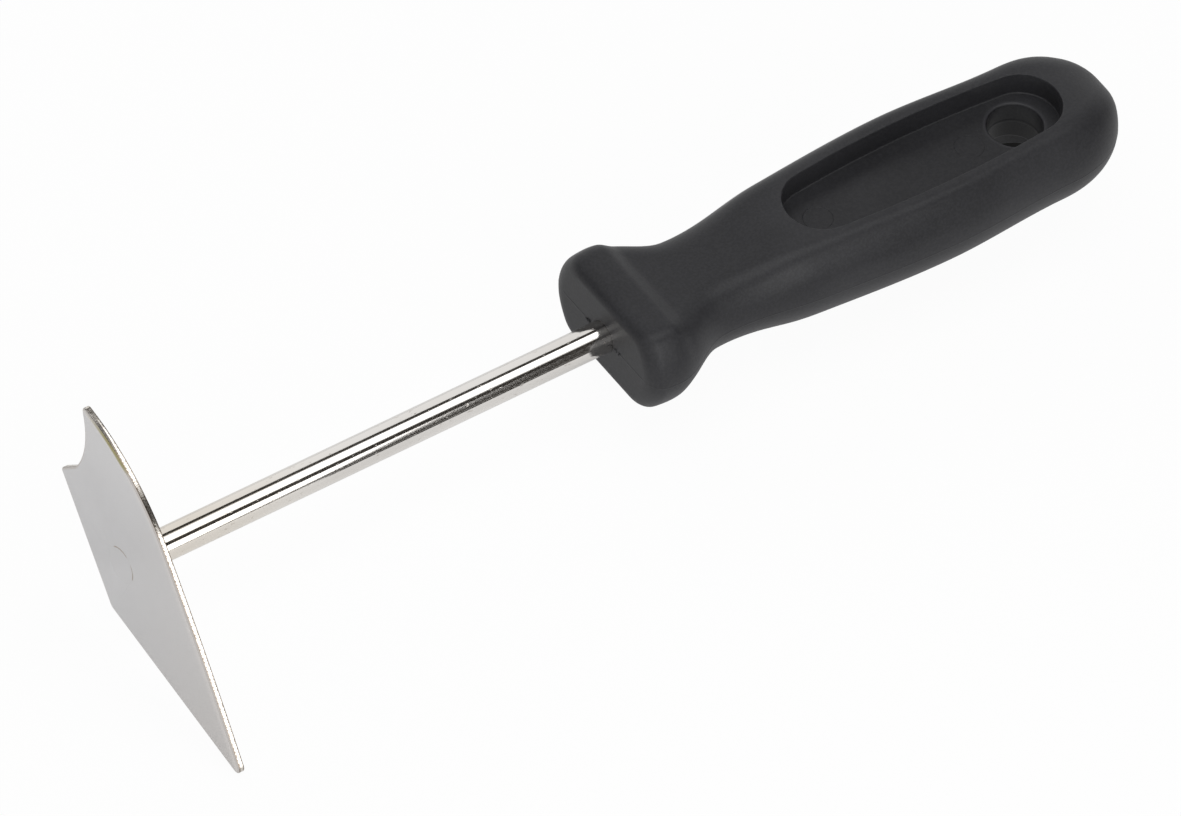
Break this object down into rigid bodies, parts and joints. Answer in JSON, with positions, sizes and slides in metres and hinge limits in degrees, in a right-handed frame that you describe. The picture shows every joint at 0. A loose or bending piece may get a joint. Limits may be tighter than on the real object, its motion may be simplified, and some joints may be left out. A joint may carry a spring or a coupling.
{
  "type": "hand scraper",
  "caption": "Hand scraper with a shaped flat steel blade set square across a round steel shaft, in a moulded plastic handle with thumb recesses and a hanging hole.",
  "frame": {"origin": "middle of the blade's front face, on the shaft's axis", "axes": "+X runs along the shaft from the blade to the handle's butt, +Y across the handle, +Z out of the handle's top face along the hanging hole"},
  "size_m": [0.2236, 0.0606, 0.049],
  "materials": {
    "blade_steel": "satin nickel plate with sheared and polished edges",
    "plated_shaft": "bright nickel plate",
    "handle_plastic": "fine matte moulded black"
  },
  "bodies": {
    "root": {"blade": "blade_steel", "shaft": "plated_shaft", "handle": "handle_plastic"}
  },
  "joints": []
}
